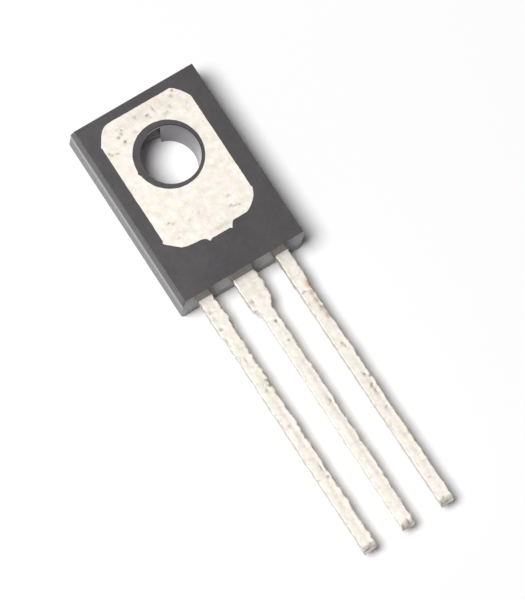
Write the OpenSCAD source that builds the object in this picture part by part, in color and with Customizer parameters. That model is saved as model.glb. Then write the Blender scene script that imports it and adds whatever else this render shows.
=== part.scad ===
// Thyristor in the flat three-lead moulded power package with one screw hole.
// It lies on its front face, so its metal pad faces up.
// The origin is on the axis of the screw hole, in the plane of the front face.
// +X is toward the cathode lead, the leads run along -Y, and +Z leaves the pad.

/* [Moulded body] */
// Width over the two side walls, at their widest line
body_w = 7.58; // [7.4:0.02:7.8]
// Length over the two end walls at the same height, without the leads
body_l = 11.03; // [10.8:0.01:11.4]
// Thickness from the front face to the metal pad
body_t = 2.6; // [2.45:0.05:2.9]
// Height from the leads' back face up to the metal pad
back_h = 1.2; // [1.05:0.05:1.35]
// Height of the bevelled rim, from the widest line up to the metal pad
rim_h = 0.6; // [0.4:0.05:0.8]
// Slope of the rim's two long sides, in degrees from upright
rim_side_slope = 11; // [7:0.5:14]
// Slope of the rim's two short sides, in degrees from upright
rim_end_slope = 8.5; // [5:0.5:12]
// Draft of the side walls below the rim, inward to the front face, in degrees
side_draft = 2.1; // [1:0.1:4]
// Draft of the hole's end wall below the rim, outward to the front face, in degrees
hole_end_draft = 2.9; // [1:0.1:5]
// Draft of the leads' end wall below the rim, outward to the front face, in degrees
lead_end_draft = 0.6; // [0.2:0.1:3]
// Radius of the four upright corners
corner_r = 0.24; // [0.1:0.01:0.4]
// Width of the stub left where the moulding was broken off its runner
gate_mark_w = 1.1; // [0.6:0.1:2]
// How far that stub stands proud of the end wall
gate_mark_out = 0.05; // [0.02:0.01:0.1]

/* [Screw hole] */
// Diameter of the hole through the moulding
bore_d = 3.2; // [3.0:0.05:3.4]
// Distance from the hole's axis to the end of the body, at the widest line
hole_to_end = 3.74; // [3.6:0.01:3.9]
// Plastic wall between the hole and the metal round it
sleeve_t = 0.3; // [0.24:0.02:0.4]
// Plastic left behind the relief in the wall of the hole
relief_skin = 0.1; // [0.06:0.01:0.14]
// Thickness of the sleeve's lip above the relief
relief_lip = 0.38; // [0.25:0.01:0.6]
// Where the relief starts, in degrees from +X
relief_from = 76; // [60:1:90]
// Arc that the relief takes, in degrees
relief_arc = 54; // [30:1:70]

/* [Heat spreader] */
// Width of the metal pad
pad_w = 5.55; // [5.3:0.05:5.8]
// Length of the metal pad
pad_l = 7.9; // [7.6:0.05:8.1]
// Distance from the hole's axis to the pad's far edge
hole_to_pad_end = 3.11; // [3.0:0.01:3.2]
// Radius of the pad's corners
pad_corner_r = 0.9; // [0.6:0.05:1.1]
// Thickness of the copper plate
plate_t = 1.25; // [1.1:0.05:1.4]
// Sideways offset of the plate in the moulding
pad_shift = -0.09; // [-0.15:0.01:0.15]
// Width of the tongue that joins the plate to the centre lead
tongue_w = 1.4; // [1.2:0.05:1.6]
// Length of the tongue that shows in the back face
tongue_out = 0.28; // [0.15:0.01:0.4]
// Slope of the neck that steps down to the lead, in degrees
neck_slope = 60; // [50:1:75]

/* [Leads] */
// Distance between neighbouring leads, centre to centre
pitch = 2.36; // [2.25:0.01:2.45]
// Length of the leads outside the body
lead_l = 15.78; // [14.6:0.01:16.6]
// Thickness of the leads
lead_t = 0.5; // [0.4:0.01:0.6]
// Width of a lead along its thin part
lead_w = 0.72; // [0.6:0.01:0.8]
// Width of the gate and cathode leads at the body
shoulder_w = 0.8; // [0.74:0.01:0.88]
// Width of the anode lead at the body
anode_w = 1.24; // [1.1:0.01:1.4]
// Length of the wide part outside the body
shoulder_l = 1.9; // [1.3:0.05:2.4]
// Length over which a lead narrows
taper_l = 0.3; // [0.1:0.05:0.5]

/* [Bonding pads inside] */
// Width of the inner end of the gate and cathode leads
bond_w = 1.5; // [1.2:0.05:1.7]
// Plastic between the heat spreader and the inner ends
bond_gap = 0.45; // [0.3:0.05:0.6]
// Plastic between the inner ends and the end wall
bond_cover = 0.5; // [0.35:0.05:0.7]

/* [Chip and wires] */
// Bare copper left between the chip's solder and the plate's edges
chip_clear = 0.25; // [0.15:0.01:0.4]
// Thickness of the chip
chip_t = 0.28; // [0.2:0.01:0.34]
// Thickness of the solder under the chip
solder_t = 0.05; // [0.03:0.01:0.08]
// Margin of solder round the chip
solder_margin = 0.1; // [0.05:0.01:0.15]
// Diameter of the cathode wire
cathode_wire_d = 0.3; // [0.25:0.01:0.34]
// Diameter of the gate wire
gate_wire_d = 0.15; // [0.1:0.01:0.2]
// Height of the wires' loops
loop_h = 0.3; // [0.2:0.01:0.34]
// Distance from the chip's edges to the gate contact
gate_inset = 0.4; // [0.3:0.05:0.5]

/* [Hidden] */

$fn = 96;
over = 1;                                  // how far a cutting tool overruns

// Places along Y
end_y = hole_to_end;                       // hole's end of the body, at the widest line
exit_y = hole_to_end - body_l;             // leads' end of the body, likewise
tip_y = exit_y - lead_l;                   // tips of the leads
pad_end_y = hole_to_pad_end;
pad_low_y = hole_to_pad_end - pad_l;       // pad's edge toward the leads
tongue_y = pad_low_y - tongue_out;         // where the tongue dips into the plastic
bond_top_y = pad_low_y - bond_gap;         // inner ends of the outer leads
bond_low_y = exit_y + bond_cover;
bond_y = (bond_top_y + bond_low_y)/2;      // where the wires land

// Heights
rim_z = body_t - rim_h;                    // the widest line
lead_top_z = body_t - back_h;              // the leads' back face
lead_low_z = lead_top_z - lead_t;
plate_z = body_t - plate_t;                // the plate's hidden face
neck_run = back_h/tan(neck_slope);         // length of the neck's slope
neck_low_run = (plate_z - lead_low_z)/tan(neck_slope);
chip_back_z = plate_z - solder_t;
chip_z = chip_back_z - chip_t;             // the chip's contact face

// End walls where they meet the front face
front_end_y = end_y + rim_z*tan(hole_end_draft);
front_exit_y = exit_y - rim_z*tan(lead_end_draft);
stub_y = end_y + (rim_z - lead_low_z)*tan(hole_end_draft) + gate_mark_out;

// The chip fills the plate between the screw hole and the lower edge
bore_r = bore_d/2;
pad_hole_r = bore_r + sleeve_t;
chip_room = -pad_hole_r - pad_low_y;
chip_w = chip_room - 2*(chip_clear + solder_margin);
chip_x = pad_shift;
chip_y = (pad_low_y - pad_hole_r)/2;

// Contact points of the two wires
cathode_on_chip = [chip_x + chip_w/8, chip_y - chip_w/8, chip_z];
cathode_on_lead = [pitch, bond_y, lead_low_z];
gate_on_chip = [chip_x - chip_w/2 + gate_inset, chip_y - chip_w/2 + gate_inset, chip_z];
gate_on_lead = [-pitch, bond_y, lead_low_z];

epoxy = [0.27, 0.26, 0.27];
tin = [0.93, 0.91, 0.86];
copper = [0.80, 0.50, 0.32];
silicon = [0.36, 0.38, 0.42];
aluminium = [0.80, 0.81, 0.83];

// ---------------------------------------------------------------- helpers

// View of the moulding's walls: they stand at lo and hi on the front face, at
// rim_lo and rim_hi on the widest line, and the rim slopes in from there.
module wall_view(lo, hi, rim_lo, rim_hi, rim_slope) {
    rim_in = rim_h*tan(rim_slope);
    polygon([[lo, 0], [hi, 0], [rim_hi, rim_z], [rim_hi - rim_in, body_t],
             [rim_lo + rim_in, body_t], [rim_lo, rim_z]]);
}

// Rectangle of size w by l with round corners, from its upper edge down.
module rounded_plate(w, l, r) {
    translate([-w/2 + r, -l]) square([w - 2*r, l]);
    translate([-w/2, -l + r]) square([w, l - 2*r]);
    for (x = [-1, 1], y = [-r, -l + r])
        translate([x*(w/2 - r), y]) circle(r = r);
}

// Stamped lead from y_in down to the tip: wide past the body, then narrow.
module lead_strip(y_in, wide) {
    shoulder_y = exit_y - shoulder_l;
    translate([0, 0, lead_low_z])
        linear_extrude(lead_t)
            polygon([[-wide/2, y_in], [-wide/2, shoulder_y],
                     [-lead_w/2, shoulder_y - taper_l], [-lead_w/2, tip_y],
                     [lead_w/2, tip_y], [lead_w/2, shoulder_y - taper_l],
                     [wide/2, shoulder_y], [wide/2, y_in]]);
}

// Gate or cathode lead: the strip and the wide inner end that the wire lands on.
module outer_lead() {
    lead_strip(bond_low_y + lead_w/2, shoulder_w);
    translate([-bond_w/2, bond_low_y, lead_low_z])
        cube([bond_w, bond_top_y - bond_low_y, lead_t]);
}

// Ultrasonic wedge foot: the wire is pressed flat on the contact.
module wire_foot(at, heading, d) {
    foot = [2.4*d, 1.4*d, 0.7*d];
    translate(at) rotate([0, 0, heading])
        translate([-foot.x/2, -foot.y/2, -foot.z]) cube(foot);
}

// Round wire from contact a to contact b: one arc that hangs toward the
// front face, with a flattened foot at each end.
module bond_wire(a, b, d) {
    step = b - a;
    run = norm([step.x, step.y]);
    chord = norm(step);
    heading = atan2(step.y, step.x);
    arc_r = (chord*chord/4 + loop_h*loop_h)/(2*loop_h);
    half = asin(chord/2/arc_r);
    translate((a + b)/2 - [0, 0, d/2])
        rotate([0, 0, heading])
            rotate([0, -atan2(step.z, run), 0])
                translate([0, 0, arc_r - loop_h])
                    rotate([90, 0, 0])
                        rotate([0, 0, 270 - half])
                            rotate_extrude(angle = 2*half)
                                translate([arc_r, 0]) circle(d = d, $fn = 32);
    wire_foot(a, heading, d);
    wire_foot(b, heading, d);
}

// ------------------------------------------------------------------ pieces

// Outside of the moulding: its side, end and back views, crossed.
module body_blank() {
    front_w = body_w - 2*rim_z*tan(side_draft);
    intersection() {
        rotate([90, 0, 90])
            linear_extrude(body_w + 2*over, center = true)
                wall_view(front_exit_y, front_end_y, exit_y, end_y, rim_end_slope);
        translate([0, front_end_y + over, 0])
            rotate([90, 0, 0])
                linear_extrude(front_end_y - front_exit_y + 2*over)
                    wall_view(-front_w/2, front_w/2, -body_w/2, body_w/2, rim_side_slope);
        translate([0, front_end_y, -over])
            linear_extrude(body_t + 2*over)
                rounded_plate(body_w, front_end_y - front_exit_y, corner_r);
    }
}

// Relief in the sleeve, open at the front face and closed by a lip at the pad.
module bore_relief() {
    translate([0, 0, -over])
        rotate([0, 0, relief_from])
            rotate_extrude(angle = relief_arc)
                square([pad_hole_r - relief_skin, body_t - relief_lip + over]);
}

module moulded_body() {
    color(epoxy)
    difference() {
        union() {
            body_blank();
            // broken stub of the runner, level with the leads
            translate([-gate_mark_w/2, end_y, lead_low_z])
                cube([gate_mark_w, stub_y - end_y, lead_t]);
        }
        translate([0, 0, -over]) cylinder(r = bore_r, h = body_t + 2*over);
        bore_relief();
        heat_spreader();
        gate_lead();
        cathode_lead();
        chip_solder();
        chip();
        cathode_wire();
        gate_wire();
    }
}

// One stamped and coined piece of tinned copper: the thick plate, the neck
// that steps down from it, and the centre lead, which is the anode.
module heat_spreader() {
    color(tin)
    difference() {
        union() {
            translate([pad_shift, pad_end_y, plate_z])
                linear_extrude(plate_t) rounded_plate(pad_w, pad_l, pad_corner_r);
            translate([pad_shift, 0, 0])
                rotate([90, 0, 90])
                    linear_extrude(tongue_w, center = true)
                        polygon([[pad_low_y + plate_t/2, body_t], [tongue_y, body_t],
                                 [tongue_y - neck_run, lead_top_z],
                                 [tongue_y - neck_run, lead_low_z],
                                 [pad_low_y - neck_low_run, lead_low_z],
                                 [pad_low_y, plate_z], [pad_low_y + plate_t/2, plate_z]]);
            lead_strip(tongue_y - neck_run + lead_t, anode_w);
        }
        translate([pad_shift, 0, plate_z - over])
            cylinder(r = pad_hole_r, h = plate_t + 2*over);
    }
}

module gate_lead() {
    color(tin) translate([-pitch, 0, 0]) outer_lead();
}

module cathode_lead() {
    color(tin) translate([pitch, 0, 0]) outer_lead();
}

module chip() {
    color(silicon)
        translate([chip_x - chip_w/2, chip_y - chip_w/2, chip_z])
            cube([chip_w, chip_w, chip_t]);
}

module chip_solder() {
    side = chip_w + 2*solder_margin;
    color("silver")
        translate([chip_x - side/2, chip_y - side/2, chip_back_z])
            cube([side, side, solder_t]);
}

module cathode_wire() {
    color(aluminium) bond_wire(cathode_on_chip, cathode_on_lead, cathode_wire_d);
}

module gate_wire() {
    color(aluminium) bond_wire(gate_on_chip, gate_on_lead, gate_wire_d);
}

moulded_body();
heat_spreader();
gate_lead();
cathode_lead();
chip();
chip_solder();
cathode_wire();
gate_wire();
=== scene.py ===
# Thyristor in a flat moulded power package, lying on its front face with the metal pad up.
import bpy
import bmesh
import math
from mathutils import Matrix, Vector, geometry, kdtree, noise


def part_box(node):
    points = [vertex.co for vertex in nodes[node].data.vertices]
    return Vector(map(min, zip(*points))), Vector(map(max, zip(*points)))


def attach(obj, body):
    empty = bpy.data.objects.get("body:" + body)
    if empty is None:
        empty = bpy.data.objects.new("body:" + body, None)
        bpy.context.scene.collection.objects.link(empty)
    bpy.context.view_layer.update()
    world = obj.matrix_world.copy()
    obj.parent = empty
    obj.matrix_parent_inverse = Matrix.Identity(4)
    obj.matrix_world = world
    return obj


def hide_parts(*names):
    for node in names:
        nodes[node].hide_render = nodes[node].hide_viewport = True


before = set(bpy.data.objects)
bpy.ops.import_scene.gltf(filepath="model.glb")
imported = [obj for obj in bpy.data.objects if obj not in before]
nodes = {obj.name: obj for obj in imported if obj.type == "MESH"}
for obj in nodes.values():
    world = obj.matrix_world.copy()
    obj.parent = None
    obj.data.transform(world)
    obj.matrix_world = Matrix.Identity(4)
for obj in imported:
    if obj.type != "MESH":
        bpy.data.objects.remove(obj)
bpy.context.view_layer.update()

mm = 0.001


# ------------------------------------------------------------ tin plate
# The copper strip is plated all over with dull tin, which is creamy white.
# Handling and the plating bath leave it mottled, scratched and stained.
# The shade on each lead's side away from the lamp, and the reflection in its side faces, are painted in
# too.

def add(tree, kind, inputs=None, **settings):
    """Add a node, set its options, and link or set its inputs."""
    node = tree.nodes.new(kind)
    for name, value in settings.items():
        setattr(node, name, value)
    for key, value in (inputs or {}).items():
        if isinstance(value, bpy.types.NodeSocket):
            tree.links.new(value, node.inputs[key])
        else:
            node.inputs[key].default_value = value
    return node


def calculate(tree, operation, a, b=0.0):
    """One Math node."""
    return add(tree, "ShaderNodeMath", {0: a, 1: b}, operation=operation).outputs[0]


def rescale(tree, value, low, high, to_low=0.0, to_high=1.0):
    """Carry a value from one range to another, and hold it inside that."""
    return add(tree, "ShaderNodeMapRange", {"Value": value, "From Min": low, "From Max": high,
                                            "To Min": to_low, "To Max": to_high}).outputs[0]


def new_finish(name):
    """Empty material, with its tree and the surface's place in millimetres."""
    material = bpy.data.materials.new(name)
    material.use_nodes = True
    tree = material.node_tree
    tree.nodes.clear()
    place = add(tree, "ShaderNodeTexCoord").outputs["Object"]
    place = add(tree, "ShaderNodeMapping", {"Vector": place, "Scale": (1 / mm,) * 3}).outputs[0]
    return material, tree, place


def speckle(tree, place, scale, detail=3.0, roughness=0.55, distortion=0.0):
    """Noise between 0 and 1, with scale spots to the millimetre."""
    return add(tree, "ShaderNodeTexNoise",
               {"Vector": place, "Scale": scale, "Detail": detail, "Roughness": roughness,
                "Distortion": distortion}).outputs["Fac"]


def noted(tree, name):
    """What the mesh notes under a name at each point, from 0 to 1."""
    return add(tree, "ShaderNodeAttribute", attribute_name=name).outputs["Fac"]


def grey(level):
    """Grey of a level, as a colour."""
    return (level, level, level, 1)


def ramp(tree, value, stops):
    """Colour ramp through (position, colour) stops."""
    node = add(tree, "ShaderNodeValToRGB", {"Fac": value})
    first, last = node.color_ramp.elements
    first.position, first.color = stops[0]
    last.position, last.color = stops[-1]
    for position, color in stops[1:-1]:
        node.color_ramp.elements.new(position).color = color
    return node.outputs["Color"]


def mix(tree, factor, a, b, blend="MIX"):
    """Mix two colours, whose sockets on this node have the numbers 6, 7 and 2."""
    return add(tree, "ShaderNodeMix", {0: factor, 6: a, 7: b},
               data_type="RGBA", blend_type=blend).outputs[2]


def tinted(tree, colour, tint):
    """Colour multiplied by a tint."""
    return mix(tree, 1.0, colour, tint, "MULTIPLY")


def coat(tree, grain, strength, depth, inputs):
    """End the material in a principled surface with a grain of small bumps."""
    bump = add(tree, "ShaderNodeBump", {"Height": grain, "Strength": strength, "Distance": depth})
    shader = add(tree, "ShaderNodeBsdfPrincipled", {**inputs, "Normal": bump.outputs[0]})
    add(tree, "ShaderNodeOutputMaterial", {"Surface": shader.outputs[0]})


def tin_finish():
    """Mottled tin, with the dirt and painted shade, nicked rims, bare copper and painted reflection on
    side faces that a mesh notes.
    """
    tin, tree, place = new_finish("dull_tin")
    pink = (0.590, 0.530, 0.500, 1)
    warm = (0.566, 0.532, 0.488, 1)
    green = (0.545, 0.532, 0.470, 1)
    colour = ramp(tree, speckle(tree, place, 1.2, 5.0, 0.68),
                  [(0.38, pink), (0.50, warm), (0.62, green)])
    yellower = (1.010, 1.004, 0.950, 1)
    bluer = (0.994, 1.000, 1.050, 1)
    cream = ramp(tree, speckle(tree, place, 2.7, 3.0, 0.6), [(0.36, yellower), (0.64, bluer)])
    colour = tinted(tree, colour, cream)
    tone = ramp(tree, speckle(tree, place, 2.6, 6.0, 0.78), [(0.28, grey(0.83)), (0.72, grey(1.15))])
    colour = tinted(tree, colour, tone)

    stained = (0.40, 0.37, 0.33, 1)
    stain = ramp(tree, speckle(tree, place, 3.1, 6.0, 0.68, 0.6), [(0.575, grey(0)), (0.70, grey(0.55))])
    colour = mix(tree, stain, colour, stained)
    # Painted shade: this dirt colour also darkens a faint band on each lead's right third, the side away
    # from the lamp.
    soil_and_shade = (0.13, 0.095, 0.06, 1)
    patchy = ramp(tree, speckle(tree, place, 7.0, 4.0, 0.65), [(0.36, grey(0.60)), (0.62, grey(1.20))])
    dirt_and_shade = calculate(tree, "MULTIPLY", noted(tree, "dirt_and_shade"), patchy)
    colour = mix(tree, dirt_and_shade, colour, soil_and_shade)
    tarnish = (0.15, 0.13, 0.10, 1)
    nick = ramp(tree, speckle(tree, place, 3.6, 5.0, 0.75), [(0.50, grey(0)), (0.66, grey(0.6))])
    colour = mix(tree, calculate(tree, "MULTIPLY", noted(tree, "rim"), nick), colour, tarnish)

    bare_copper = (0.42, 0.29, 0.16, 1)
    colour = mix(tree, noted(tree, "copper"), colour, bare_copper)
    # Painted reflection: the side faces are painted pale, standing in for the lit floor they mirror.
    painted_side_reflection = (0.96, 0.94, 0.88, 1)
    colour = mix(tree, noted(tree, "side_sheen"), colour, painted_side_reflection)
    rough = ramp(tree, speckle(tree, place, 5.0, 5.0, 0.7), [(0.3, grey(0.46)), (0.7, grey(0.60))])
    coat(tree, speckle(tree, place, 14.0, 5.0, 0.65), 0.3, 0.012 * mm,
         {"Base Color": colour, "Metallic": 1.0, "Roughness": rough})
    return tin


tin = tin_finish()


# ------------------------------------------------------ gate, cathode leads
# Three straight leads are punched from the strip: flat bars with ragged sheared
# edges, wide at the body and narrow past the tie bar that was sheared off.
# The outer two end inside the body in a wide pad, where the wires are bonded.

lead_top = 1.40 * mm
lead_thick = 0.50 * mm
lead_width = 0.73 * mm
lead_round = 0.022 * mm
lead_step = 0.05 * mm
lead_shift = 0.005 * mm
lead_pitch = 2.36 * mm
lead_start = -5.3 * mm
lead_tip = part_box("gate_lead")[0][1]


def stamped_lead_tree():
    """Sweep a round-cornered bar along Y, widen it at the body and rag its edges."""
    weld = 0.001 * mm
    rag_scale = 2.8
    rag_power = 4.0
    rag_left_share = 0.5
    rag_rise_share = 0.04

    tree = bpy.data.node_groups.new("stamped_lead", "GeometryNodeTree")
    sockets = tree.interface
    sockets.new_socket("Geometry", in_out="INPUT", socket_type="NodeSocketGeometry")
    for name in ("Start", "Tip", "Width", "Thickness", "Top", "Left Shoulder", "Left End",
                 "Left Taper", "Right Shoulder", "Right End", "Right Taper", "Edge Radius",
                 "Ring Step", "Burr", "Seed"):
        sockets.new_socket(name, in_out="INPUT", socket_type="NodeSocketFloat")
    sockets.new_socket("Finish", in_out="INPUT", socket_type="NodeSocketMaterial")
    sockets.new_socket("Geometry", in_out="OUTPUT", socket_type="NodeSocketGeometry")
    given = add(tree, "NodeGroupInput").outputs

    section = add(tree, "GeometryNodeCurvePrimitiveQuadrilateral",
                  {"Width": given["Width"], "Height": given["Thickness"]})
    section = add(tree, "GeometryNodeSubdivideCurve", {"Curve": section.outputs[0], "Cuts": 13})
    section = add(tree, "GeometryNodeFilletCurve",
                  {"Curve": section.outputs[0], "Radius": given["Edge Radius"], "Count": 4},
                  mode="POLY")
    start = add(tree, "ShaderNodeCombineXYZ", {"Y": given["Start"]}).outputs[0]
    tip = add(tree, "ShaderNodeCombineXYZ", {"Y": given["Tip"]}).outputs[0]
    path = add(tree, "GeometryNodeCurvePrimitiveLine", {"Start": start, "End": tip})
    path = add(tree, "GeometryNodeResampleCurve",
               {"Curve": path.outputs[0], "Length": given["Ring Step"]}, mode="LENGTH")
    bar = add(tree, "GeometryNodeCurveToMesh",
              {"Curve": path.outputs[0], "Profile Curve": section.outputs[0], "Fill Caps": True})
    bar = add(tree, "GeometryNodeMergeByDistance", {"Geometry": bar.outputs[0], "Distance": weld})

    place = add(tree, "GeometryNodeInputPosition").outputs[0]
    axes = add(tree, "ShaderNodeSeparateXYZ", {0: place}).outputs
    half = calculate(tree, "MULTIPLY", given["Width"], 0.5)
    across = calculate(tree, "DIVIDE", axes["X"], half)
    off_middle = calculate(tree, "ABSOLUTE", across)
    rim = rescale(tree, off_middle, 0.68, 0.92)
    bar = add(tree, "GeometryNodeStoreNamedAttribute",
              {"Geometry": bar.outputs[0], "Name": "rim", "Value": rim},
              data_type="FLOAT", domain="POINT")

    def widened(side, share):
        """Move of this side's edge past the narrow part, with its taper."""
        end = given[side + " End"]
        reach = calculate(tree, "SUBTRACT", given[side + " Shoulder"], half)
        narrow = calculate(tree, "SUBTRACT", end, given[side + " Taper"])
        move = rescale(tree, axes["Y"], narrow, end, 0.0, reach)
        return calculate(tree, "MULTIPLY", share, move)

    shoulders = calculate(tree, "ADD",
                          widened("Left", calculate(tree, "MINIMUM", across, 0.0)),
                          widened("Right", calculate(tree, "MAXIMUM", across, 0.0)))

    seed = add(tree, "ShaderNodeCombineXYZ", {"X": given["Seed"], "Z": given["Seed"]})
    spot = add(tree, "ShaderNodeVectorMath", {0: place, 1: (1 / mm,) * 3, 2: seed.outputs[0]},
               operation="MULTIPLY_ADD")
    rag = add(tree, "ShaderNodeTexNoise", {"Vector": spot.outputs[0], "Scale": rag_scale,
                                           "Detail": 5.0, "Roughness": 0.70})
    rag = add(tree, "ShaderNodeVectorMath", {0: rag.outputs["Color"], 1: (0.5,) * 3},
              operation="SUBTRACT")
    rag = add(tree, "ShaderNodeVectorMath", {0: rag.outputs[0], "Scale": given["Burr"]},
              operation="SCALE")
    rag = add(tree, "ShaderNodeSeparateXYZ", {0: rag.outputs[0]}).outputs
    edge = calculate(tree, "MULTIPLY", calculate(tree, "POWER", off_middle, rag_power),
                     rescale(tree, across, -1.0, 1.0, rag_left_share, 1.0))
    level = calculate(tree, "SUBTRACT", given["Top"],
                      calculate(tree, "MULTIPLY", given["Thickness"], 0.5))
    aside = calculate(tree, "ADD", shoulders, calculate(tree, "MULTIPLY", rag["X"], edge))
    raised = calculate(tree, "ADD", level, calculate(tree, "MULTIPLY", rag["Z"], rag_rise_share))
    move = add(tree, "ShaderNodeCombineXYZ", {"X": aside, "Z": raised})
    bar = add(tree, "GeometryNodeSetPosition",
              {"Geometry": bar.outputs[0], "Offset": move.outputs[0]})
    bar = add(tree, "GeometryNodeRealizeInstances", {"Geometry": bar.outputs[0]})
    bar = add(tree, "GeometryNodeSetMaterial",
              {"Geometry": bar.outputs[0], "Material": given["Finish"]})
    add(tree, "NodeGroupOutput", {"Geometry": bar.outputs[0]})
    return tree


lead_tree = stamped_lead_tree()


def new_piece(name, mesh):
    """Object with a mesh, put in the scene."""
    piece = bpy.data.objects.new(name, mesh)
    bpy.context.scene.collection.objects.link(piece)
    return piece


def finished_mesh(piece):
    """The piece's mesh with its modifiers applied."""
    bpy.context.view_layer.update()
    seen = piece.evaluated_get(bpy.context.evaluated_depsgraph_get())
    mesh = bpy.data.meshes.new_from_object(seen)
    piece.modifiers.clear()
    piece.data = mesh
    return mesh


def rolled_tip(mesh):
    """Roll the tip's upper edge over and rag its lower edge, as the cropping blade did."""
    roll_reach = 0.34 * mm
    roll_drop = 0.17 * mm
    tear = 0.06 * mm
    for vertex in mesh.vertices:
        past = 1 - (vertex.co.y - lead_tip) / roll_reach
        if past > 0:
            height = (vertex.co.z - lead_top) / lead_thick + 1
            torn = noise.noise(Vector((vertex.co.x / mm * 7, height * 3, 4)))
            vertex.co.z -= roll_drop * past * past * height * (1 + 0.5 * torn)
            vertex.co.y -= tear * past * (1 - height) * (1 + torn)


def stamped_lead(name, x, sheen_share, **sizes):
    """One lead from the shared tree, moved to its place.

    Its side faces are painted paler by a share from 0 to 1, a painted reflection of the lit floor beside
    them.
    """
    piece = new_piece(name, bpy.data.meshes.new(name))
    modifier = piece.modifiers.new("stamping", "NODES")
    modifier.node_group = lead_tree
    sizes = dict({"Width": lead_width, "Thickness": lead_thick, "Top": lead_top,
                  "Tip": lead_tip, "Edge Radius": lead_round, "Ring Step": lead_step,
                  "Finish": tin}, **sizes)
    for socket in lead_tree.interface.items_tree:
        if socket.in_out == "INPUT" and socket.name in sizes:
            modifier[socket.identifier] = sizes[socket.name]
    mesh = finished_mesh(piece)
    mesh.transform(Matrix.Translation((x + lead_shift, 0, 0)))
    rolled_tip(mesh)
    side_sheen = mesh.attributes.new("side_sheen", "FLOAT", "POINT")
    for vertex in mesh.vertices:
        if abs(vertex.normal.x) > 0.7:
            side_sheen.data[vertex.index].value = sheen_share
    return piece


def shear(piece, edge, y_low, y_high, cut):
    """Slope a side face back from its foot, as the shear that took the tie bar did.

    The edge, the two ends and the cut at the top are in millimetres.
    """
    near_run = 0.6
    far_run = 0.9
    half_width = 0.38
    side_sheen = piece.data.attributes["side_sheen"]
    for vertex in piece.data.vertices:
        x, y, z = vertex.co / mm
        if x > edge and y_low < y < y_high:
            ends = min((y_high - y) / near_run, (y - y_low) / far_run, 1.0)
            height = (vertex.co.z - lead_top) / lead_thick + 1
            torn = 0.5 + 0.5 * noise.noise(Vector((4 * y, 4 * z, 7)))
            torn += 0.5 * noise.noise(Vector((11 * y, 9 * z, 2)))
            slope = ends * height * (0.6 + 0.7 * torn) * (x - edge) / half_width
            vertex.co.x -= cut * slope * mm
            # The torn face keeps no painted reflection.
            side_sheen.data[vertex.index].value = 0.0


def splay(piece, reach):
    """Bend the lead sideways a little, most at its tip."""
    bend_start = -9 * mm
    for vertex in piece.data.vertices:
        past = max(0.0, (vertex.co.y - bend_start) / (lead_tip - bend_start))
        vertex.co.x += reach * past ** 1.5


def felt(x, y, middle_x, middle_y, wide, long):
    """How much of a mark is felt at a place, from 1 in its middle to 0 well outside it."""
    far = ((x - middle_x) / wide) ** 2 + ((y - middle_y) / long) ** 2
    return math.exp(-far) if far < 6 else 0.0


def mark_and_shade(piece, marks, copper_patches=()):
    """Press marks into the open faces, and note their dirt and painted shade, and where copper is bare.

    A mark is x, y, reach across, reach along and depth in millimetres, then dirt and
    painted shade from 0 to 1. A patch is x, y, reach across and reach along, then
    copper from 0 to 1.
    """
    lowest = 0.8 * mm
    mesh = piece.data
    dirt_and_shade = mesh.attributes.new("dirt_and_shade", "FLOAT", "POINT")
    copper = mesh.attributes.new("copper", "FLOAT", "POINT")
    open_faces = [(vertex.normal.z > 0.2 or vertex.normal.y < -0.6) and vertex.co.z > lowest
                  for vertex in mesh.vertices]
    for vertex, is_open in zip(mesh.vertices, open_faces):
        if not is_open:
            continue
        x, y = vertex.co.x / mm, vertex.co.y / mm
        x += 0.05 * noise.noise(Vector((6 * x, 6 * y, 1)))
        y += 0.08 * noise.noise(Vector((6 * x, 6 * y, 8)))
        sink = soil_and_shade = 0.0
        for *spot, depth, soiled_and_shaded in marks:
            share = felt(x, y, *spot)
            sink += depth * share
            soil_and_shade = max(soil_and_shade, soiled_and_shaded * share)
        vertex.co.z -= sink * mm
        dirt_and_shade.data[vertex.index].value = soil_and_shade
        copper.data[vertex.index].value = max(
            (bared * felt(x, y, *spot) for *spot, bared in copper_patches), default=0.0)


gate_marks = [
    # The first mark is a faint band on the right third: painted shade on the side away from the lamp.
    (-2.26, -16.0, 0.13, 7.5, 0.004, 0.16),
    (-2.56, -8.15, 0.18, 0.05, 0.020, 0.40),
    (-2.56, -9.20, 0.18, 0.05, 0.030, 0.45),
    (-2.55, -8.60, 0.07, 0.35, 0.004, 0.22),
    (-2.66, -10.0, 0.05, 0.30, 0.015, 0.30),
    (-2.38, -11.3, 0.06, 0.22, 0.010, 0.35),
    (-2.06, -12.72, 0.08, 0.08, 0.020, 0.95),
    (-2.07, -13.05, 0.07, 0.10, 0.020, 0.95),
    (-2.33, -13.2, 0.13, 0.06, 0.010, 0.50),
    (-2.35, -15.4, 0.10, 0.12, 0.008, 0.30),
    (-2.17, -18.1, 0.05, 0.30, 0.015, 0.85),
    (-2.12, -18.75, 0.08, 0.09, 0.020, 1.00),
    (-2.35, -20.3, 0.08, 0.30, 0.004, 0.22),
    (-2.65, -23.11, 0.10, 0.10, 0.020, 0.85),
    (-2.47, -23.09, 0.08, 0.08, 0.020, 0.70),
    (-2.32, -22.98, 0.08, 0.07, 0.020, 0.60),
    (-2.19, -22.86, 0.06, 0.09, 0.030, 0.75),
    (-2.34, -23.10, 0.36, 0.15, 0.000, 0.45),
]
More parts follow.
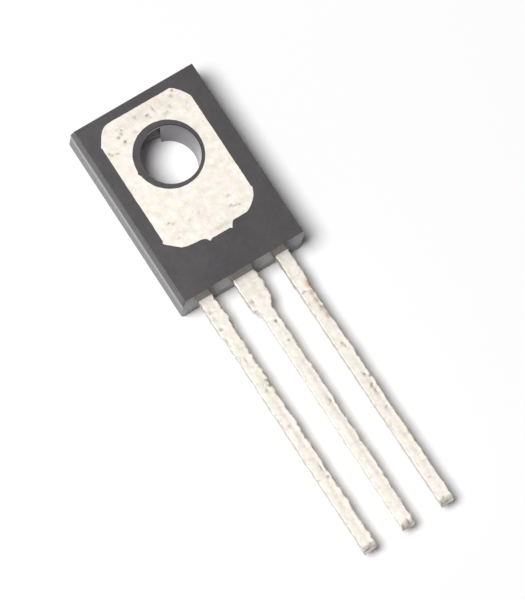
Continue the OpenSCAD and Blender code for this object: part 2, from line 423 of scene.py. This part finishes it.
cathode_marks = [
    # The first mark is a faint band on the right third: painted shade on the side away from the lamp.
    (2.53, -17.5, 0.12, 6.0, 0.004, 0.12),
    (2.55, -16.0, 0.13, 0.50, 0.006, 0.45),
    (2.20, -9.76, 0.20, 0.04, 0.030, 0.65),
    (2.64, -9.50, 0.13, 0.26, 0.000, 0.25),
    (2.58, -9.98, 0.12, 0.16, 0.014, 0.60),
    (2.56, -10.4, 0.12, 0.22, 0.016, 0.55),
    (2.58, -10.9, 0.12, 0.20, 0.016, 0.65),
    (2.62, -11.4, 0.11, 0.22, 0.012, 0.55),
    (2.40, -13.1, 0.09, 0.06, 0.012, 0.75),
    (2.48, -13.3, 0.06, 0.12, 0.012, 0.75),
    (2.49, -15.12, 0.08, 0.10, 0.018, 1.00),
    (2.70, -15.35, 0.08, 0.08, 0.020, 1.00),
    (2.50, -15.80, 0.07, 0.10, 0.015, 0.90),
    (2.50, -16.2, 0.06, 0.10, 0.018, 0.85),
    (2.10, -16.5, 0.08, 0.05, 0.010, 0.45),
    (2.52, -17.2, 0.08, 0.10, 0.012, 0.95),
    (2.57, -20.6, 0.10, 0.04, 0.010, 0.45),
    (2.38, -21.5, 0.09, 0.05, 0.008, 0.35),
    (2.38, -22.85, 0.08, 0.10, 0.020, 0.50),
    (2.16, -23.08, 0.09, 0.09, 0.015, 0.80),
    (2.46, -23.10, 0.09, 0.11, 0.030, 0.70),
    (2.42, -23.10, 0.36, 0.15, 0.000, 0.45),
]
cathode_copper = [
    (2.64, -9.50, 0.13, 0.26, 1.0),
    (2.58, -9.98, 0.12, 0.16, 0.3),
    (2.56, -10.4, 0.12, 0.22, 0.2),
    (2.58, -10.9, 0.12, 0.20, 0.2),
    (2.62, -11.4, 0.11, 0.22, 0.2),
]

gate_lead = stamped_lead("gate_lead_strip", x=-lead_pitch, sheen_share=0.45, **{
    "Start": lead_start, "Burr": 0.62 * mm, "Seed": 3.0,
    "Left Shoulder": 0.43 * mm, "Left End": -9.55 * mm, "Left Taper": 0.2 * mm,
    "Right Shoulder": 0.40 * mm, "Right End": -9.2 * mm, "Right Taper": 0.3 * mm})
splay(gate_lead, 0.03 * mm)
mark_and_shade(gate_lead, gate_marks)

cathode_lead = stamped_lead("cathode_lead_strip", x=lead_pitch, sheen_share=0.57, **{
    "Start": lead_start, "Burr": 0.36 * mm, "Seed": 11.0,
    "Left Shoulder": 0.38 * mm, "Left End": -9.2 * mm, "Left Taper": 0.3 * mm,
    "Right Shoulder": 0.38 * mm, "Right End": -8.9 * mm, "Right Taper": 0.3 * mm})
shear(cathode_lead, edge=lead_pitch / mm, y_low=-12.1, y_high=-9.0, cut=0.07)
splay(cathode_lead, 0.09 * mm)
mark_and_shade(cathode_lead, cathode_marks, cathode_copper)

for piece, node in ((gate_lead, "gate_lead"), (cathode_lead, "cathode_lead")):
    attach(piece, "root")
    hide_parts(node)


# ------------------------------------------------------- heat spreader
# A thick copper plate carries the chip and shows as the bare pad in the back.
# It is one piece with the neck and the centre lead, punched and coined from the
# strip, with its four corners cut off and its edges left a little ragged.

plate_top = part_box("heat_spreader")[1][2]
plate_thick = 1.25 * mm
plate_back = plate_top - plate_thick
plate_spacing = 0.06 * mm
hole_centre = Vector((-0.06, 0.03)) * mm
hole_radius = 1.91 * mm
hole_points = 240
outline_step = 0.05


def curve_through(start, pull, end):
    """Points on the quadratic curve from start to end, without the first."""
    count = max(2, round((end - start).length / outline_step))
    return [start.lerp(pull, k / count).lerp(pull.lerp(end, k / count), k / count)
            for k in range(1, count + 1)]


def trace(start, legs):
    """Closed outline: a leg is an end point, or a pull point and an end point."""
    points = []
    here = Vector(start)
    for leg in legs:
        end = Vector(leg[-1])
        pull = Vector(leg[0]) if len(leg) == 2 else here.lerp(end, 0.5)
        points += curve_through(here, pull, end)
        here = end
    return points


def pushed(outline, amount, share=lambda point: 1.0):
    """Closed outline with each point moved to the right of its run, by its share."""
    moved = []
    for index, point in enumerate(outline):
        along = outline[(index + 1) % len(outline)] - outline[index - 1]
        aside = Vector((along.y, -along.x)).normalized()
        moved.append(point + aside * share(point) * amount)
    return moved


def raggedness(point):
    """Coarse and fine noise along the plate's edge."""
    scale = 2.2
    coarse = noise.noise(Vector((point.x * scale, point.y * scale, 5)))
    fine = noise.noise(Vector((point.x * scale * 3, point.y * scale * 3, 5)))
    return coarse + 0.5 * fine


# Outline of the pad in millimetres, clockwise from its far corner on the gate side
pad_start = (-1.90, 3.11)
pad_legs = [
    [(1.90, 3.10)], [(2.12, 2.98), (2.28, 2.77)], [(2.33, 2.72)], [(2.52, 2.45)],
    [(2.58, 2.32), (2.65, 2.20)], [(2.67, 2.12)],
    [(2.68, -3.70)], [(2.72, -3.76)], [(2.66, -3.87)], [(2.44, -4.45), (1.75, -4.75)],
    [(1.60, -4.76)], [(0.92, -4.76)], [(0.80, -4.79), (0.70, -4.98)],
    [(0.61, -5.12)], [(0.50, -5.03)], [(-0.56, -5.02)], [(-0.66, -5.06)], [(-0.76, -5.10)],
    [(-0.84, -4.95)], [(-0.95, -4.82), (-1.22, -4.79)], [(-1.83, -4.74)],
    [(-2.06, -4.72), (-2.26, -4.60)], [(-2.88, -4.05)], [(-2.96, -3.95)], [(-2.89, -3.84)],
    [(-2.89, 2.08)], [(-2.93, 2.14)], [(-2.86, 2.24)], [(-2.58, 2.66)],
    [(-2.26, 3.10), pad_start],
]
pad_ragged = 0.016
pad_outline = [point * mm
               for point in pushed(trace(pad_start, pad_legs), pad_ragged, raggedness)]


def hole_point(turn):
    """Point on the plate's hole, which is a little rough and has a nick on the gate side."""
    nick_turn = 0.51
    nick_half = 0.012
    nick_deep = 0.09 * mm
    rough_deep = 0.012 * mm
    nick = max(0.0, 1 - abs(turn - nick_turn) / nick_half)
    x, y = math.cos(turn * math.tau), math.sin(turn * math.tau)
    rough = noise.noise(Vector((6 * x, 6 * y, 2)))
    reach = hole_radius + nick_deep * nick + rough_deep * rough
    return hole_centre + reach * Vector((x, y))


hole_outline = [hole_point(k / hole_points) for k in range(hole_points)]


def inside(point, ring):
    """Whether a point is inside a closed outline."""
    within = False
    for a, b in zip(ring, ring[1:] + ring[:1]):
        if (a.y > point.y) != (b.y > point.y):
            if point.x < a.x + (point.y - a.y) / (b.y - a.y) * (b.x - a.x):
                within = not within
    return within


def as_mesh(name, mesh):
    """Plain mesh from an edited one, with the tin finish."""
    made = bpy.data.meshes.new(name)
    mesh.to_mesh(made)
    mesh.free()
    made.materials.append(tin)
    return made


def thicken(mesh, faces, reach):
    """Close faces into a solid with a copy of them moved by reach."""
    raised = bmesh.ops.extrude_face_region(mesh, geom=faces, use_keep_orig=True)
    for item in raised["geom"]:
        if isinstance(item, bmesh.types.BMVert):
            item.co += reach
    bmesh.ops.recalc_face_normals(mesh, faces=mesh.faces[:])


def grid_between(outline, hole, clear, spacing):
    """Rows of points over the outline's box, none of them in the hole or near a rim."""
    rim_gap = 0.6 * spacing
    row_gap = 0.87 * spacing
    rims = kdtree.KDTree(len(outline) + len(hole))
    for index, point in enumerate(outline + hole):
        rims.insert((point.x, point.y, 0), index)
    rims.balance()
    low_x, high_x = min(p.x for p in outline), max(p.x for p in outline)
    y, high_y = min(p.y for p in outline), max(p.y for p in outline)
    points = []
    shift = 0.0
    while y < high_y:
        x = low_x + shift
        while x < high_x:
            point = Vector((x, y))
            if rims.find((x, y, 0))[2] > rim_gap and (point - hole_centre).length > clear:
                points.append(point)
            x += spacing
        y += row_gap
        shift = 0.5 * spacing - shift
    return points


def plate_with_hole(name, outline, hole, low, high, spacing):
    """Closed plate, with its two faces triangulated finely enough to take dents."""
    clear = min((point - hole_centre).length for point in hole)
    points = outline + hole + grid_between(outline, hole, clear, spacing)
    count, last = len(outline), len(outline) + len(hole)
    edges = [(k, (k + 1) % count) for k in range(count)]
    edges += [(k, k + 1) for k in range(count, last - 1)] + [(last - 1, count)]
    spots, _, faces, _, _, _ = geometry.delaunay_2d_cdt(
        [p / mm for p in points], edges, [], 1, 1e-7)

    ring = [point / mm for point in hole]
    mesh = bmesh.new()
    corners = [mesh.verts.new((p.x * mm, p.y * mm, low)) for p in spots]
    for face in faces:
        middle = sum((spots[k] for k in face), Vector((0, 0))) / 3
        off = (middle * mm - hole_centre).length
        if off > 1.1 * clear or (off > 0.95 * clear and not inside(middle, ring)):
            mesh.faces.new([corners[k] for k in face])
    bmesh.ops.delete(mesh, geom=[v for v in mesh.verts if not v.link_faces], context="VERTS")
    thicken(mesh, mesh.faces[:], Vector((0, 0, high - low)))
    return as_mesh(name, mesh)


def prism(name, corners, reach):
    """Closed block: a flat face through the corners, thickened by reach."""
    mesh = bmesh.new()
    face = mesh.faces.new([mesh.verts.new(corner) for corner in corners])
    thicken(mesh, [face], Vector(reach))
    return as_mesh(name, mesh)


def combine(piece, operation, tools):
    """Join the tool meshes to the piece, or cut them out of it, one by one."""
    for tool in tools:
        other = new_piece("tool", tool)
        modifier = piece.modifiers.new("tool", "BOOLEAN")
        modifier.operation = operation
        modifier.solver = "MANIFOLD"
        modifier.object = other
        finished_mesh(piece)
        bpy.data.objects.remove(other)


spreader = new_piece("spreader_plate", plate_with_hole(
    "spreader_plate", pad_outline, hole_outline, plate_back, plate_top, plate_spacing))
anode_lead = stamped_lead("anode_lead_strip", x=0.0, sheen_share=0.97, **{
    "Start": -5.9 * mm, "Burr": 0.46 * mm, "Seed": 27.0,
    "Left Shoulder": 0.65 * mm, "Left End": -9.28 * mm, "Left Taper": 0.06 * mm,
    "Right Shoulder": 0.65 * mm, "Right End": -9.0 * mm, "Right Taper": 0.4 * mm})
splay(anode_lead, 0.03 * mm)
neck_half = 0.62 * mm
# The neck from its side, as y and z in millimetres: a slope down from plate to lead
neck_side = [(-4.2, 2.45), (-4.75, 2.45), (-5.76, 1.39), (-6.2, 1.39), (-6.2, 0.91),
             (-5.06, 0.91), (-4.79, 1.36), (-4.2, 1.36)]
neck = prism("neck", [(-neck_half, y * mm, z * mm) for y, z in neck_side], (2 * neck_half, 0, 0))
combine(spreader, "UNION", [neck, anode_lead.data])
bpy.data.objects.remove(anode_lead)

pad_marks = [
    (0.00, 2.62, 2.60, 0.35, 0.000, 0.13),
    (-2.25, 2.80, 0.10, 0.08, 0.004, 0.45),
    (-1.69, 2.56, 0.10, 0.10, 0.004, 0.40),
    (-1.49, 2.43, 0.07, 0.10, 0.006, 0.65),
    (-1.60, 2.28, 0.07, 0.10, 0.006, 0.75),
    (-1.80, 2.17, 0.09, 0.09, 0.006, 0.80),
    (-1.64, 1.78, 0.09, 0.11, 0.006, 0.95),
    (-2.73, 1.64, 0.08, 0.09, 0.004, 0.85),
    (-2.62, 1.50, 0.10, 0.07, 0.004, 0.70),
    (-2.34, 1.43, 0.14, 0.06, 0.004, 0.50),
    (-0.87, 1.96, 0.16, 0.07, 0.004, 0.35),
    (-0.50, 2.68, 0.07, 0.12, 0.004, 0.45),
    (0.10, 2.42, 0.13, 0.10, 0.004, 0.75),
    (0.22, 2.26, 0.10, 0.08, 0.004, 0.50),
    (0.56, 2.58, 0.07, 0.15, 0.004, 0.70),
    (1.05, 2.02, 0.20, 0.10, 0.004, 0.35),
    (1.43, 2.27, 0.12, 0.10, 0.004, 0.45),
    (1.74, 2.71, 0.10, 0.08, 0.004, 0.60),
    (1.96, 2.92, 0.07, 0.07, 0.010, 0.95),
    (-2.10, -3.18, 0.10, 0.06, 0.004, 0.60),
    (-1.90, -3.31, 0.09, 0.06, 0.004, 0.70),
    (-1.06, -3.60, 0.10, 0.08, 0.004, 0.40),
    (-1.90, -3.95, 0.40, 0.18, 0.000, 0.18),
    (-2.06, -4.10, 0.12, 0.07, 0.004, 0.45),
    (1.22, -4.03, 0.12, 0.06, 0.008, 0.60),
    (1.43, -4.12, 0.14, 0.05, 0.008, 0.75),
    (1.65, -4.20, 0.10, 0.05, 0.008, 0.50),
    (1.38, -3.52, 0.10, 0.07, 0.004, 0.40),
    (0.20, -4.72, 0.60, 0.12, 0.000, 0.25),
    (0.60, -2.60, 0.35, 0.12, 0.000, 0.12),
    (-0.40, -3.60, 0.20, 0.25, 0.000, 0.12),
    (1.85, 0.40, 0.14, 0.22, 0.004, 0.25),
]
anode_marks = [
    # The first mark is a faint band on the right third: painted shade on the side away from the lamp.
    (0.18, -16.5, 0.12, 7.0, 0.004, 0.18),
    (-0.55, -9.33, 0.16, 0.05, 0.020, 0.50),
    (-0.39, -8.82, 0.05, 0.18, 0.030, 0.75),
    (0.30, -7.95, 0.10, 0.06, 0.008, 0.30),
    (0.12, -10.3, 0.08, 0.09, 0.020, 0.95),
    (0.15, -11.15, 0.07, 0.04, 0.010, 0.55),
    (0.12, -11.5, 0.07, 0.08, 0.015, 0.90),
    (-0.40, -12.6, 0.05, 0.07, 0.015, 0.60),
    (0.22, -15.4, 0.06, 0.14, 0.015, 0.80),
    (0.06, -15.55, 0.10, 0.05, 0.010, 0.45),
    (0.11, -22.98, 0.06, 0.18, 0.040, 0.75),
    (-0.31, -23.08, 0.10, 0.10, 0.015, 0.80),
    (0.02, -23.10, 0.36, 0.14, 0.000, 0.40),
]
mark_and_shade(spreader, pad_marks + anode_marks)
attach(spreader, "root")
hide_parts("heat_spreader")


# --------------------------------------------------------- solder, chip
# The chip is a square of silicon with its metallised face down, soldered to the
# plate's hidden face. The soft solder is a thin grey layer, wider than the chip.


def plain_finish(name, colours, metallic, roughness, scale, depth):
    """Finish mottled between two colours, with scale clouds to the millimetre."""
    material, tree, place = new_finish(name)
    dark, light = [colour + (1,) for colour in colours]
    colour = ramp(tree, speckle(tree, place, scale, 4.0, 0.6), [(0.35, dark), (0.65, light)])
    coat(tree, speckle(tree, place, scale * 6), 0.3, depth,
         {"Base Color": colour, "Metallic": metallic, "Roughness": roughness})
    return material


def dress(node, material):
    """Give a CAD node a finish."""
    nodes[node].data.materials.clear()
    nodes[node].data.materials.append(material)


solder_finish = plain_finish("solder", ((0.50, 0.50, 0.49), (0.60, 0.60, 0.58)),
                             metallic=1.0, roughness=0.45, scale=3.0, depth=0.01 * mm)
silicon_finish = plain_finish("silicon", ((0.18, 0.19, 0.22), (0.22, 0.23, 0.27)),
                              metallic=0.4, roughness=0.3, scale=1.0, depth=0.001 * mm)
dress("chip_solder", solder_finish)
dress("chip", silicon_finish)


# ----------------------------------------------------------- bond wires
# Two drawn aluminium wires join the chip to the outer leads, a thick one for
# the cathode and a thin one for the gate. Each is pressed flat where it lands.

wire_finish = plain_finish("bond_wire", ((0.80, 0.81, 0.83), (0.86, 0.87, 0.88)),
                           metallic=1.0, roughness=0.32, scale=8.0, depth=0.002 * mm)
dress("cathode_wire", wire_finish)
dress("gate_wire", wire_finish)


# -------------------------------------------------------- moulded body
# Black epoxy is moulded round the strip, so the lead frame is held by it alone.
# Its sides are widest at the parting plane, and its end walls lean in toward the
# back, to leave the die. The runner was broken off its far end.

body_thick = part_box("moulded_body")[1][2]
edge_round = 0.03 * mm
# Height, half width, far end, lead end, and corner radius far and near, in millimetres
body_stations = [(0.00, 3.710, 3.930, -7.300, 0.14, 0.14),
                 (1.35, 3.735, 3.830, -7.315, 0.08, 0.10),
                 (2.00, 3.790, 3.755, -7.268, 0.05, 0.08),
                 (2.60, 3.675, 3.645, -7.200, 0.05, 0.05)]
waist_height = body_stations[1][0]
parting_height = body_stations[2][0]


def body_ring(z, inset):
    """Round-cornered ring of the body at a height, pulled in by an inset."""
    corner_steps = 8
    for low, high in zip(body_stations, body_stations[1:]):
        if z <= high[0] * mm:
            break
    share = (z / mm - low[0]) / (high[0] - low[0])
    half, far, near, far_round, near_round = [
        (a + share * (b - a)) * mm for a, b in zip(low[1:], high[1:])]
    half, far, near = half - inset, far - inset, near + inset
    ring = []
    for x, y, radius, turn in ((half - far_round, far - far_round, far_round, 0),
                               (far_round - half, far - far_round, far_round, 90),
                               (near_round - half, near + near_round, near_round, 180),
                               (half - near_round, near + near_round, near_round, 270)):
        for step in range(corner_steps + 1):
            angle = math.radians(turn + 90 / corner_steps * step)
            ring.append((x + radius * math.cos(angle), y + radius * math.sin(angle), z))
    return ring


def loft(rings):
    """Closed solid through rings with the same number of points, from bottom to top."""
    mesh = bmesh.new()
    made = [[mesh.verts.new(point) for point in ring] for ring in rings]
    for under, over in zip(made, made[1:]):
        for k in range(len(under)):
            n = (k + 1) % len(under)
            mesh.faces.new((under[k], under[n], over[n], over[k]))
    mesh.faces.new(list(reversed(made[0])))
    mesh.faces.new(made[-1])
    bmesh.ops.recalc_face_normals(mesh, faces=mesh.faces[:])
    return as_mesh("loft", mesh)


def body_blank():
    """Body before it is cut, with its foot and its upper rim rounded."""
    beside = 0.04 * mm
    parting_worn = 0.001 * mm
    quarter = [math.radians(22.5 * k) for k in range(5)]
    rounding = [(edge_round * (1 - math.cos(a)), edge_round * (1 - math.sin(a))) for a in quarter]
    levels = list(rounding)
    for crease, worn in ((waist_height * mm, 0.0), (parting_height * mm, parting_worn)):
        levels += [(crease - beside, 0.0), (crease, worn), (crease + beside, 0.0)]
    levels += [(body_thick - up, inset) for up, inset in reversed(rounding)]
    return loft([body_ring(z, inset) for z, inset in levels])


def circle(z, x, y, radius):
    """Ring at a height, round a centre, from sizes in millimetres."""
    count = 160
    turns = [math.tau * k / count for k in range(count)]
    return [((x + radius * math.cos(turn)) * mm, (y + radius * math.sin(turn)) * mm, z * mm)
            for turn in turns]


def sector(z, start, end, near, far, shallow):
    """Ring round a part of a washer that gets narrower from its start to its end."""
    count = 36
    turns = [math.radians(start + (end - start) * k / count) for k in range(count + 1)]
    reach = [far + (shallow - far) * k / count for k in range(count + 1)]
    ring = [(r * math.cos(t) * mm, r * math.sin(t) * mm, z * mm) for t, r in zip(turns, reach)]
    return ring + [(near * math.cos(t) * mm, near * math.sin(t) * mm, z * mm)
                   for t in reversed(turns)]


def broken_stub(wide, low, high, root, reach):
    """Block across the end wall, with a torn face where the runner broke off."""
    rows, columns = 10, 22
    tear = 0.03
    levels = [low + (high - low) * k / rows for k in range(rows + 1)]
    places = [wide * (k / columns - 0.5) for k in range(columns + 1)]
    mesh = bmesh.new()

    def sheet(depth):
        """Grid of points, as deep at each place as depth gives."""
        return [[mesh.verts.new((x * mm, depth(x, z) * mm, z * mm)) for x in places]
                for z in levels]

    back = sheet(lambda x, z: root)
    face = sheet(lambda x, z: reach + tear * noise.noise(Vector((5 * x, 7 * z, 3))))
    rim = [(0, k) for k in range(columns)] + [(k, columns) for k in range(rows)]
    rim += [(rows, columns - k) for k in range(columns)] + [(rows - k, 0) for k in range(rows)]
    for (a, b), (c, d) in zip(rim, rim[1:] + rim[:1]):
        mesh.faces.new((back[a][b], back[c][d], face[c][d], face[a][b]))
    for grid in (back, face):
        for a in range(rows):
            for b in range(columns):
                mesh.faces.new((grid[a][b], grid[a][b + 1], grid[a + 1][b + 1], grid[a + 1][b]))
    bmesh.ops.recalc_face_normals(mesh, faces=mesh.faces[:])
    return as_mesh("stub", mesh)


# A hair of room round the plate keeps the two surfaces apart
seam = 0.003 * mm
pocket = plate_with_hole("pocket", pushed(pad_outline, -seam), pushed(hole_outline, -seam),
                         plate_back - seam, plate_top + 0.2 * mm, 0.7 * mm)
# Height, centre and radius of the screw hole, which is narrowest just above its foot
bore = loft([circle(*ring) for ring in (
    (-0.10, 0.100, -0.060, 1.600), (0.00, 0.100, -0.060, 1.585), (0.04, 0.100, -0.060, 1.565),
    (0.09, 0.095, -0.055, 1.560), (0.14, 0.090, -0.055, 1.565), (1.30, 0.050, -0.030, 1.605),
    (2.50, 0.030, -0.020, 1.620), (2.56, 0.030, -0.020, 1.625), (2.60, 0.030, -0.020, 1.650),
    (2.70, 0.030, -0.020, 1.670))])
# Height, first and last degree, inner radius, and outer radius at either end, of the
# relief in the sleeve round the screw hole
relief = loft([sector(*ring) for ring in (
    (-0.10, 69.0, 130.0, 1.20, 1.80, 1.66), (2.22, 75.8, 130.0, 1.20, 1.78, 1.65),
    (2.36, 76.5, 130.0, 1.20, 1.69, 1.62))])
body = new_piece("epoxy_body", body_blank())
combine(body, "UNION", [broken_stub(wide=1.1, low=0.92, high=1.38, root=3.70, reach=3.895)])
combine(body, "DIFFERENCE", [pocket, bore, relief])


def epoxy_finish():
    """Black epoxy, darker near the leads. Painted light makes it paler on the gate side and in the bore.
    """
    epoxy, tree, place = new_finish("moulded_epoxy")
    dark = (0.049, 0.0465, 0.049, 1)
    light = (0.069, 0.0625, 0.067, 1)
    colour = ramp(tree, speckle(tree, place, 0.8, 5.0, 0.6), [(0.3, dark), (0.7, light)])
    violet = (0.97, 0.89, 1.00, 1)
    olive = (1.03, 1.11, 0.98, 1)
    spots = ramp(tree, speckle(tree, place, 6.0, 4.0, 0.7), [(0.3, violet), (0.7, olive)])
    colour = tinted(tree, colour, spots)

    axes = add(tree, "ShaderNodeSeparateXYZ", {0: place}).outputs
    # Painted light: paler on the gate side, where the lamp stands, and darker on the far side from it.
    colour = tinted(tree, colour, rescale(tree, axes["X"], -3.8, 3.8, 1.12, 0.88))
    dark_middle = (0.7, -6.2, 2.6)
    dark_reach = 3.2
    off_middle = add(tree, "ShaderNodeVectorMath", {0: place, 1: dark_middle},
                     operation="DISTANCE").outputs["Value"]
    colour = tinted(tree, colour, rescale(tree, off_middle, 0.0, dark_reach, 0.87, 1.0))

    bore_reach = 1.82
    bore_mouth = 2.55
    # Painted light: the bore's walls are painted paler, standing in for the light the white sheet throws
    # into the hole.
    bore_painted_fill = (0.19, 0.17, 0.19, 1)
    off_axis = calculate(tree, "ADD", calculate(tree, "MULTIPLY", axes["X"], axes["X"]),
                         calculate(tree, "MULTIPLY", axes["Y"], axes["Y"]))
    bored = calculate(tree, "MULTIPLY", calculate(tree, "LESS_THAN", off_axis, bore_reach ** 2),
                      calculate(tree, "LESS_THAN", axes["Z"], bore_mouth))
    colour = mix(tree, bored, colour, bore_painted_fill)

    rough = ramp(tree, speckle(tree, place, 4.0, 4.0, 0.6), [(0.3, grey(0.24)), (0.7, grey(0.34))])
    height = rescale(tree, axes["Z"], 0.0, body_thick / mm)
    upper_walls = ramp(tree, height, [(0.42, grey(0)), (0.46, grey(0.09)), (0.985, grey(0.09)),
                                      (0.995, grey(0))])
    rough = calculate(tree, "SUBTRACT", rough, upper_walls)
    rough = calculate(tree, "SUBTRACT", rough, calculate(tree, "MULTIPLY", bored, 0.06))
    coat(tree, speckle(tree, place, 14.0, 5.0, 0.65), 0.35, 0.01 * mm,
         {"Base Color": colour, "Roughness": rough, "IOR": 1.5})
    return epoxy


body.data.materials.clear()
body.data.materials.append(epoxy_finish())
for polygon in body.data.polygons:
    polygon.use_smooth = True
body.data.set_sharp_from_angle(angle=math.radians(40))
weights = body.modifiers.new("weights", "WEIGHTED_NORMAL")
weights.keep_sharp = True
finished_mesh(body)
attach(body, "root")
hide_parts("moulded_body")


# -------------------------------------------------------------- floor
# A plain white sheet lies under the part, large enough to fill every view.
# The camera sees it nearly white, but it throws light back as plain paper does.

sheet_half = 2.0
sheet_thick = 0.01
sheet_shade = (0.80, 0.80, 0.80, 1)
sheet_seen = (0.985, 0.981, 0.985, 1)


def looked_at(tree):
    """1 where the camera sees this itself, in metal or through glass, and else 0."""
    path = add(tree, "ShaderNodeLightPath").outputs
    return calculate(tree, "MAXIMUM", path["Is Camera Ray"],
                     calculate(tree, "MAXIMUM", path["Is Glossy Ray"],
                               path["Is Transmission Ray"]))


sheet_corners = [(x * sheet_half, y * sheet_half, -sheet_thick)
                 for x, y in ((-1, -1), (1, -1), (1, 1), (-1, 1))]
floor = new_piece("floor", prism("floor", sheet_corners, (0, 0, sheet_thick)))
material, tree, place = new_finish("white_sheet")
shade = mix(tree, looked_at(tree), sheet_shade, sheet_seen)
sheet = add(tree, "ShaderNodeBsdfDiffuse", {"Color": shade})
add(tree, "ShaderNodeOutputMaterial", {"Surface": sheet.outputs[0]})
floor.data.materials[0] = material


# -------------------------------------------------------------- studio
# One round soft box stands high on the gate side. The room looks white, but its
# own light is weak, and only fills the shadows.

lamp_reach = 1.0
lamp_aim = Vector((0, -8.0, 0)) * mm
toward_lamp = Vector((-0.439, 0.10, 1)).normalized()
lamp = bpy.data.lights.new("soft_box", "AREA")
lamp.shape = "DISK"
lamp.size = 0.50
lamp.energy = 10.64
soft_box = bpy.data.objects.new("soft_box", lamp)
soft_box.location = lamp_aim + toward_lamp * lamp_reach
soft_box.rotation_euler = toward_lamp.to_track_quat("Z", "Y").to_euler()
bpy.context.scene.collection.objects.link(soft_box)

room_light = 0.09
room = bpy.data.worlds.new("room")
bpy.context.scene.world = room
room.use_nodes = True
room.node_tree.nodes.clear()
level = rescale(room.node_tree, looked_at(room.node_tree), 0.0, 1.0, room_light, 1.0)
sky = add(room.node_tree, "ShaderNodeBackground", {"Color": grey(1), "Strength": level})
add(room.node_tree, "ShaderNodeOutputWorld", {"Surface": sky.outputs[0]})
bpy.context.scene.view_settings.view_transform = "Standard"


# -------------------------------------------------------------- camera
# A long lens looks steeply down from beyond the gate lead's tip. It is turned
# and rolled, so that the leads point down and to the right.

turn, rise, roll = math.radians(-48.36), math.radians(73.112), math.radians(16.257)
aim = Vector((0.421, -8.697, 0)) * mm
distance = 220.485 * mm
back = Vector((math.sin(turn) * math.cos(rise), -math.cos(turn) * math.cos(rise),
               math.sin(rise)))
side = (-back).cross(Vector((0, 0, 1))).normalized()
top = side.cross(-back)
right = math.cos(roll) * side + math.sin(roll) * top
upward = -math.sin(roll) * side + math.cos(roll) * top
lens = bpy.data.cameras.new("camera")
lens.sensor_fit = "VERTICAL"
lens.sensor_height = 36
lens.lens = 251.77
lens.clip_start = 0.001
camera = bpy.data.objects.new("camera", lens)
camera.matrix_world = Matrix.Translation(aim + back * distance) @ Matrix(
    (right, upward, back)).transposed().to_4x4()
bpy.context.scene.collection.objects.link(camera)
bpy.context.scene.camera = camera
